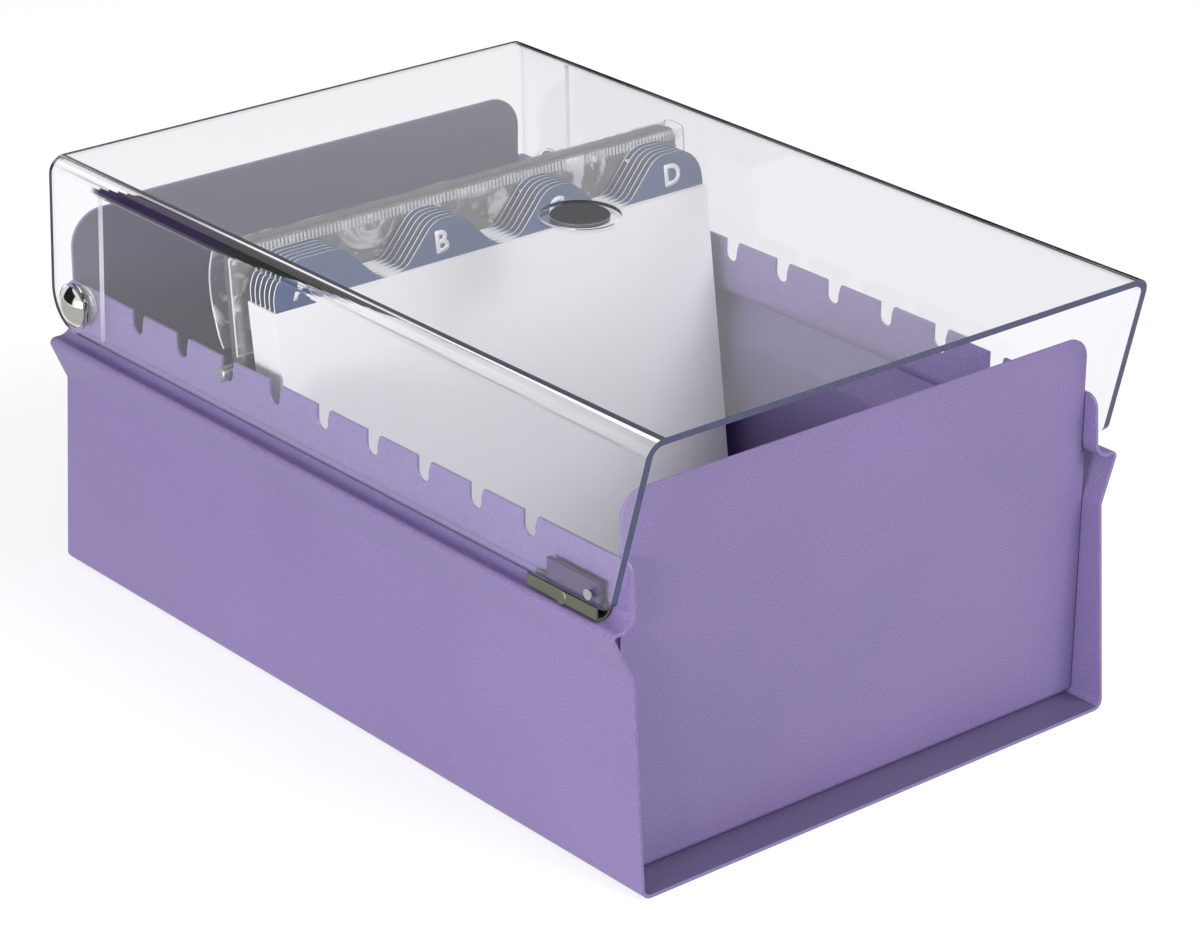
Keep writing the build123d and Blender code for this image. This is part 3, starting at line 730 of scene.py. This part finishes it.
# %% The sheet over the plate
PLATE_LEAN = math.radians(5.5)
FILM_THICKNESS = 0.12
LEAF_FRONT, LEAF_BACK, LEAF_TOP = -3.5, 2.6, 35.4
FRONT_DROP, BACK_DROP = 30.6, 29.0
CROWN = 4.2
CROWN_TURN = 1.0
CROWN_RISE, CROWN_FALL = 1.3, 0.6
CROWN_PEAK = 1.3
BACK_START = 0.4
BULGE = 3.6
BOW_FULLNESS = 0.8
GAP_MIDDLES = (-38.9, 3.1, 45.0)
GAP_HALF = 9
PUCKER_HEIGHT, PUCKER_REACH = 29, 6
POUCH_DEPTH, POUCH_RIPPLE, FRONT_CREASE = 1.6, 1.4, 0.12
BACK_RIPPLE, BACK_CREASE = 0.9, 0.35
RIPPLE_WIDTH, RIPPLE_HEIGHT = 9, 14
CREASE_WIDTH, CREASE_SLANT, CREASE_HEIGHT = 4, 5, 6
FRONT_NOISE, BACK_NOISE, CREASE_NOISE = 3.1, 7.7, 1.3  # where in the noise each pattern is read
CROWN_EDGE = 1.2
ACROSS, ALONG = 120, 70
lug_axis = Vector(joints["support_tilt"]["pos_m"])
film_back = Vector((0, math.cos(PLATE_LEAN), -math.sin(PLATE_LEAN)))
film_up = Vector((0, math.sin(PLATE_LEAN), math.cos(PLATE_LEAN)))
sleeve_low, sleeve_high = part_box("register_sleeve")
half_film = (sleeve_high.x - sleeve_low.x) / 2


def film_path(share):
    """Distance behind the lug axis and height above it along the film, share from 0 to 1."""
    front_run = FRONT_DROP - CROWN_TURN
    crown_run = CROWN + LEAF_BACK
    travelled = share * (front_run + crown_run + BACK_DROP)
    if travelled < front_run:
        return LEAF_FRONT, LEAF_TOP - FRONT_DROP + travelled
    travelled -= front_run
    if travelled < crown_run:
        turn = travelled / crown_run
        rise = CROWN_RISE * math.sin(math.pi / 2 * min(turn * CROWN_PEAK, 1)) - CROWN_FALL * turn
        return LEAF_FRONT + (CROWN - LEAF_FRONT) * turn, LEAF_TOP - CROWN_TURN + rise
    fall = min((travelled - crown_run) / BACK_DROP, 1.0)
    bow = math.sin(math.pi * fall) ** BOW_FULLNESS
    back = LEAF_BACK + (CROWN - LEAF_BACK) * (1 - fall) + BULGE * bow
    return back, LEAF_TOP - BACK_START - BACK_DROP * fall


def film_pucker(x, height, front):
    """How far the film stands out of its path, in mm: soft ripples, and pouches between the tabs."""
    layer = FRONT_NOISE if front else BACK_NOISE
    ripple = noise.noise(Vector((x / RIPPLE_WIDTH, height / RIPPLE_HEIGHT, layer)))
    slanted = x / CREASE_WIDTH + height / CREASE_SLANT
    crease = noise.noise(Vector((slanted, height / CREASE_HEIGHT, CREASE_NOISE)))
    if not front:
        return BACK_RIPPLE * ripple + BACK_CREASE * crease
    from_gap = min(abs(x - middle) for middle in GAP_MIDDLES)
    free = max(0.0, 1 - (from_gap / GAP_HALF) ** 2)
    free *= max(0.0, 1 - ((height - PUCKER_HEIGHT) / PUCKER_REACH) ** 2)
    return -free * (POUCH_DEPTH + POUCH_RIPPLE * ripple) - FRONT_CREASE * abs(crease)


select_only(nodes["support_plate"])
bpy.ops.mesh.primitive_grid_add(x_subdivisions=ACROSS, y_subdivisions=ALONG, size=1)
film_sheet = bpy.context.object
film_sheet.name = "film_sleeve"
for vertex in film_sheet.data.vertices:
    x = vertex.co.x * 2 * half_film
    back, height = film_path(vertex.co.y + 0.5)
    front = back < 0 and height < LEAF_TOP - CROWN_EDGE
    out = film_pucker(x / MM, height, front)
    place = lug_axis + film_back * (back + out) * MM + film_up * height * MM
    vertex.co = Vector((x, place.y, place.z))
thick = film_sheet.modifiers.new("film_thickness", "SOLIDIFY")
thick.thickness = FILM_THICKNESS * MM
apply_all(film_sheet)
bpy.ops.object.shade_smooth()
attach(film_sheet, "support")
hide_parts("register_sleeve")

# %% [markdown]
# ## Creased film
#
# Film is all but invisible where it lies smooth. Creased film scatters light and turns white, and so do its cut
# sides, its hem and its weld. The white patches and fine lines are partly crease whitening and partly painted
# highlight. The cover of a white skin follows those, and is kept low over the crown, where the film is pulled
# tight.

# %% Film finish
PATCH_SIZE, LINE_SIZE = 22, 5
WELD_DROP = 4.2
WELD_COVER, SIDE_COVER, HEM_COVER = 0.16, 0.85, 0.6
film_hem = min(vertex.co.z for vertex in film_sheet.data.vertices)
weld_z = lug_axis.z + (LEAF_TOP - WELD_DROP) * MM


def clear_film(name):
    """Limp film with white creases and painted highlights, a faint weld, bright cut sides and a hem."""
    material, tree = new_material(name)
    place = add_node(tree, "ShaderNodeTexCoord").outputs["Object"]
    axes = add_node(tree, "ShaderNodeSeparateXYZ", None, {"Vector": place})
    height = axes.outputs["Z"]
    outward = add_node(tree, "ShaderNodeMath", {"operation": "ABSOLUTE"}, {0: axes.outputs["X"]})
    creases = add_node(tree, "ShaderNodeTexNoise", None, {
        "Vector": place, "Scale": per_metre(PATCH_SIZE), "Detail": 3.0, "Distortion": 2.2})
    fine = add_node(tree, "ShaderNodeTexNoise", None, {
        "Vector": place, "Scale": per_metre(LINE_SIZE), "Detail": 3.0, "Distortion": 1.0})
    # White patches and fine lines: partly crease whitening, partly painted highlight.
    patches = add_node(tree, "ShaderNodeMapRange", None, {
        "Value": creases, "From Min": 0.5, "From Max": 0.6, "To Min": 0.06, "To Max": 0.6})
    lines = add_node(tree, "ShaderNodeMapRange", None, {
        "Value": fine, "From Min": 0.56, "From Max": 0.66, "To Max": 0.4})
    creases_and_painted_highlights = add_node(tree, "ShaderNodeMath", {"operation": "MAXIMUM"}, {0: patches, 1: lines})
    loose = add_node(tree, "ShaderNodeMapRange", None, {
        "Value": height, "From Min": weld_z + 3.2 * MM, "From Max": weld_z + 2.6 * MM, "To Min": 0.1})
    cover = add_node(tree, "ShaderNodeMath", {"operation": "MULTIPLY"}, {0: creases_and_painted_highlights, 1: loose})

    over_foot = add_node(tree, "ShaderNodeMapRange", None, {
        "Value": height, "From Min": weld_z - 0.2 * MM, "From Max": weld_z + 0.2 * MM})
    under_top = add_node(tree, "ShaderNodeMapRange", None, {
        "Value": height, "From Min": weld_z + 3.0 * MM, "From Max": weld_z + 2.7 * MM, "To Max": WELD_COVER})
    weld = add_node(tree, "ShaderNodeMath", {"operation": "MULTIPLY"}, {0: over_foot, 1: under_top})
    side = add_node(tree, "ShaderNodeMapRange", None, {
        "Value": outward, "From Min": half_film - 0.5 * MM, "From Max": half_film - 0.35 * MM,
        "To Max": SIDE_COVER})
    hem = add_node(tree, "ShaderNodeMapRange", None, {
        "Value": height, "From Min": film_hem + 0.6 * MM, "From Max": film_hem + 0.4 * MM,
        "To Max": HEM_COVER})
    for white_part in (weld, side, hem):
        cover = add_node(tree, "ShaderNodeMath", {"operation": "MAXIMUM"}, {0: cover, 1: white_part})
    bump = add_node(tree, "ShaderNodeBump", None, {
        "Height": creases, "Strength": 0.7, "Distance": 1.2 * MM})
    skin = add_node(tree, "ShaderNodeBsdfPrincipled", None, {
        "Base Color": linear("#eef0f0"), "Roughness": 0.16, "IOR": 1.5, "Alpha": cover, "Normal": bump})
    add_node(tree, "ShaderNodeOutputMaterial", None, {"Surface": skin})
    return material


# Film: clear between its creases, so the plate's dark grey shows through.
film_sheet.data.materials.append(clear_film("limp_clear_film"))
print("film hem at", round(film_hem / MM, 1), "mm, weld at", round(weld_z / MM, 1), "mm")

# %% [markdown]
# ## Seal strip
#
# Below the fold the film carries a heat-sealed strip: two layers welded under a ribbed jaw.
# One rib is a small bar with a narrower front, and an array modifier repeats it across the
# sleeve.

# %% Ribbed seal
RIB_PITCH = 1.3
RIB_WIDTH = 0.65
RIB_HEIGHT = 2.6
RIB_STAND = 0.3
RIB_FRONT_WIDTH, RIB_FRONT_HEIGHT = 0.6, 0.9
RIB_CLEARANCE = 0.2
SEAL_DROP = 2.7
SEAL_INSET = 1.5
HAZE_SIZE = 14
seal_back = LEAF_FRONT - RIB_CLEARANCE - RIB_STAND / 2
seal_centre = lug_axis + film_back * seal_back * MM + film_up * (LEAF_TOP - SEAL_DROP) * MM
seal_half = half_film / MM - SEAL_INSET
rib_count = int(2 * seal_half / RIB_PITCH)


def welded_film(name):
    """Two welded layers: hazier than one, and uneven along the seal."""
    material, tree = new_material(name)
    place = add_node(tree, "ShaderNodeTexCoord").outputs["Object"]
    haze = add_node(tree, "ShaderNodeTexNoise", None, {
        "Vector": place, "Scale": per_metre(HAZE_SIZE), "Detail": 2.0})
    cover = add_node(tree, "ShaderNodeMapRange", None, {
        "Value": haze, "From Min": 0.35, "From Max": 0.65, "To Min": 0.25, "To Max": 0.6})
    skin = add_node(tree, "ShaderNodeBsdfPrincipled", None, {
        "Base Color": linear("#f0f2f4"), "Roughness": 0.2, "IOR": 1.5, "Alpha": cover})
    add_node(tree, "ShaderNodeOutputMaterial", None, {"Surface": skin})
    return material


select_only(film_sheet)
bpy.ops.mesh.primitive_cube_add(size=1)
seal = bpy.context.object
seal.name = "seal_strip"
for vertex in seal.data.vertices:
    in_front = vertex.co.y < 0
    across = vertex.co.x * RIB_WIDTH * (RIB_FRONT_WIDTH if in_front else 1.0)
    stand = vertex.co.y * RIB_STAND
    rise = vertex.co.z * RIB_HEIGHT * (RIB_FRONT_HEIGHT if in_front else 1.0)
    place = seal_centre + film_back * stand * MM + film_up * rise * MM
    vertex.co = Vector(((across - seal_half) * MM, place.y, place.z))
ribs = seal.modifiers.new("ribs", "ARRAY")
ribs.use_relative_offset = False
ribs.use_constant_offset = True
ribs.constant_offset_displace = (RIB_PITCH * MM, 0, 0)
ribs.count = rib_count
apply_all(seal)
# Weld: a row of milky ribs that catch the light one by one.
seal.data.materials.append(welded_film("welded_clear_film"))
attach(seal, "support")
print(rib_count, "ribs")

# %% [markdown]
# ## Studio
#
# The object stands on a plain white floor in soft light. The world and the floor are white
# to the camera and in mirrors and glass, but they light the object at a plainer level, so
# its colours render about as they are written.

# %% Floor and world
WORLD_LIGHT = 0.34
FLOOR_GREY = (0.45, 0.45, 0.46, 1)
FLOOR_GLOW = 0.72
FLOOR_SIZE = 30
FLOOR_DROP = 0.0002
WHITE = (1, 1, 1, 1)


def shown_rays(tree):
    """1 for the rays that show the background: to the camera, in mirrors and through glass."""
    ray = add_node(tree, "ShaderNodeLightPath")
    seen = add_node(tree, "ShaderNodeMath", {"operation": "MAXIMUM"}, {
        0: ray.outputs["Is Camera Ray"], 1: ray.outputs["Is Glossy Ray"]})
    return add_node(tree, "ShaderNodeMath", {"operation": "MAXIMUM"}, {
        0: seen, 1: ray.outputs["Is Transmission Ray"]})


bpy.ops.mesh.primitive_plane_add(size=FLOOR_SIZE, location=(0, 0, -FLOOR_DROP))
floor = bpy.context.object
floor.name = "studio_floor"
floor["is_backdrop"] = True
# Paper roll: keeps the object's shadow, and glows up to white where it is looked at.
floor_material, tree = new_material("white_studio_floor")
matt = add_node(tree, "ShaderNodeBsdfDiffuse", None, {"Color": FLOOR_GREY})
glow = add_node(tree, "ShaderNodeEmission", None, {"Color": WHITE, "Strength": FLOOR_GLOW})
both = add_node(tree, "ShaderNodeAddShader", None, {0: matt, 1: glow})
surface = add_node(tree, "ShaderNodeMixShader", None, {"Fac": shown_rays(tree), 1: matt, 2: both})
add_node(tree, "ShaderNodeOutputMaterial", None, {"Surface": surface})
floor.data.materials.append(floor_material)

world = bpy.data.worlds.new("white_studio")
bpy.context.scene.world = world
world.use_nodes = True
tree = world.node_tree
tree.nodes.clear()
strength = add_node(tree, "ShaderNodeMapRange", None, {
    "Value": shown_rays(tree), "To Min": WORLD_LIGHT, "To Max": 1.0})
sky = add_node(tree, "ShaderNodeBackground", None, {"Color": WHITE, "Strength": strength})
add_node(tree, "ShaderNodeOutputWorld", None, {"Surface": sky})
print("world lights at", WORLD_LIGHT, "of white")

# %% [markdown]
# ## Lamps and cards
#
# Two soft boxes light the left side and the front. In an all-white room a rivet or a clear
# lid would mirror nothing but white and lose its shape, so the photographer stands grey and
# black cards beside the set. Only reflections show these cards, and they take no light away.

# %% Lamps
AIM_POINT = (0, 0, 0.07)


def soft_lamp(name, place, width, height, watts):
    """A rectangular lamp that looks at the object."""
    light = bpy.data.lights.new(name, "AREA")
    light.shape = "RECTANGLE"
    light.size = width
    light.size_y = height
    light.energy = watts
    lamp = bpy.data.objects.new(name, light)
    bpy.context.scene.collection.objects.link(lamp)
    lamp.location = place
    lamp.rotation_euler = (Vector(AIM_POINT) - Vector(place)).to_track_quat("-Z", "Y").to_euler()
    print(name, watts, "W")


soft_lamp("left_box", (-1.6, -0.3, 0.32), 1.0, 0.45, 22)
soft_lamp("front_box", (0.5, -1.3, 1.1), 1.0, 0.8, 20)


# %% Cards
def card(name, place, target, width, height, level):
    """A grey card that only reflections show."""
    bpy.ops.object.select_all(action="DESELECT")
    bpy.ops.mesh.primitive_plane_add(size=1)
    sheet = bpy.context.object
    sheet.name = name
    turn = (Vector(target) - Vector(place)).to_track_quat("Z", "Y").to_matrix().to_4x4()
    stretch = Matrix.Diagonal((width, height, 1, 1))
    sheet.data.transform(Matrix.Translation(place) @ turn @ stretch)
    for ray_kind in ("camera", "diffuse", "transmission", "volume_scatter", "shadow"):
        setattr(sheet, f"visible_{ray_kind}", False)
    material, tree = new_material(name)
    grey = add_node(tree, "ShaderNodeEmission", None, {"Color": (level, level, level, 1), "Strength": 1.0})
    add_node(tree, "ShaderNodeOutputMaterial", None, {"Surface": grey})
    sheet.data.materials.append(material)
    sheet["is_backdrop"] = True
    print(name, "at", level, "of white")


card("grey_card_behind", (0.75, 0.88, 0.62), AIM_POINT, 2.0, 1.1, 0.4)
card("black_card_left", (-0.95, 0.85, 0.45), AIM_POINT, 1.3, 0.8, 0.02)
card("grey_card_floor", (-0.62, 0.5, 0.001), (-0.62, 0.5, 1), 1.0, 1.6, 0.6)

# %% [markdown]
# ## Camera
#
# A long lens from about 1.1 m, turned to the drawer's front left corner and looking down,
# keeps the edges nearly parallel, as in a catalogue picture.

# %% Camera
SENSOR_WIDTH = 36
PICTURE_WIDTH = 1200
FOCAL_PIXELS = 4035.95
AZIMUTH, ELEVATION, ROLL = (math.radians(a) for a in (-40.291, 23.981, 0.424))
DISTANCE, SLIDE, LIFT = 1143.09, 3.837, -23.594
AIM = Vector((0, -8.8, 80))
back = Vector((
    math.sin(AZIMUTH) * math.cos(ELEVATION),
    -math.cos(AZIMUTH) * math.cos(ELEVATION),
    math.sin(ELEVATION)))
right = (-back).cross(Vector((0, 0, 1))).normalized()
upward = right.cross(-back)
rolled_right = right * math.cos(ROLL) + upward * math.sin(ROLL)
rolled_up = upward * math.cos(ROLL) - right * math.sin(ROLL)
eye = AIM + back * DISTANCE + right * SLIDE + upward * LIFT
lens = bpy.data.cameras.new("catalogue_lens")
lens.sensor_fit = "HORIZONTAL"
lens.sensor_width = SENSOR_WIDTH
lens.lens = FOCAL_PIXELS / PICTURE_WIDTH * SENSOR_WIDTH
lens.clip_start = 0.05
lens.clip_end = 60
camera = bpy.data.objects.new("camera", lens)
bpy.context.scene.collection.objects.link(camera)
turn = Matrix((rolled_right, rolled_up, back)).transposed()
camera.matrix_world = Matrix.Translation(eye * MM) @ turn.to_4x4()
bpy.context.scene.camera = camera
bpy.context.scene.view_settings.view_transform = "Standard"
print("lens of", round(lens.lens, 1), "mm,", round(eye.length), "mm from the drawer's foot")

# %% Compare the sizes and finish
visual_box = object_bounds()
for label, box in (("engineering", cad_box), ("dressed", visual_box)):
    size = [round((high - low) / MM, 1) for low, high in zip(*box)]
    print(label, "box in mm:", size)
